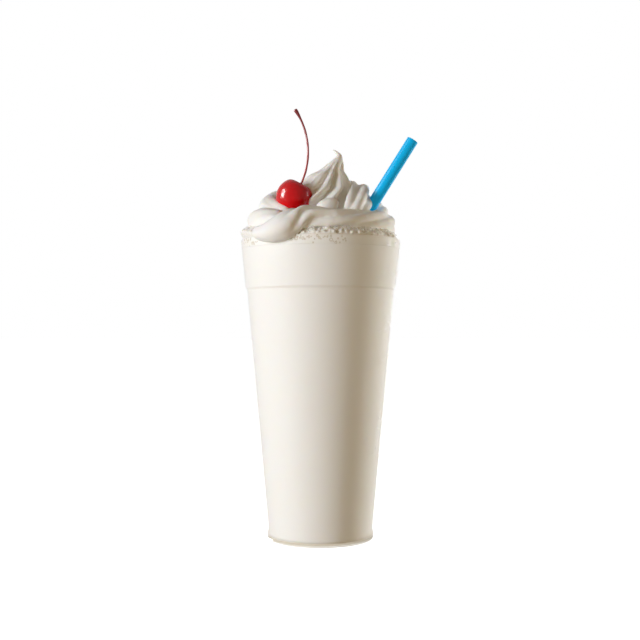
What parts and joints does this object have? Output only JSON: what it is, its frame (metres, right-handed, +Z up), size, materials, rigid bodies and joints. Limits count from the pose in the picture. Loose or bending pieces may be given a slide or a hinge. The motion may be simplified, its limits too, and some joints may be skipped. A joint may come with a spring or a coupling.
{
  "type": "vanilla milkshake",
  "caption": "Tall tapered clear glass filled with a pale creamy shake, topped with bubbly froth, a piped whipped cream swirl, a stemmed cherry and a leaning straw.",
  "frame": {"origin": "middle of the glass's flat underside", "axes": "+Z up along the glass's axis, -Y towards the front where the cherry sits to the left and the straw leans to the right"},
  "size_m": [0.099, 0.0902, 0.2392],
  "materials": {
    "clear_glass": "clear, smooth",
    "shake": "opaque cream-white liquid",
    "froth": "bubbly, slightly wet",
    "cream": "soft satin",
    "cherry": "glossy, syrupy",
    "stem": "satin, dark red",
    "straw_plastic": "semi-gloss blue plastic"
  },
  "bodies": {
    "root": {"glass": "clear_glass", "milkshake": "shake", "froth": "froth", "whipped_cream": "cream", "cherry": "cherry", "cherry_stem": "stem", "straw": "straw_plastic"}
  },
  "joints": []
}
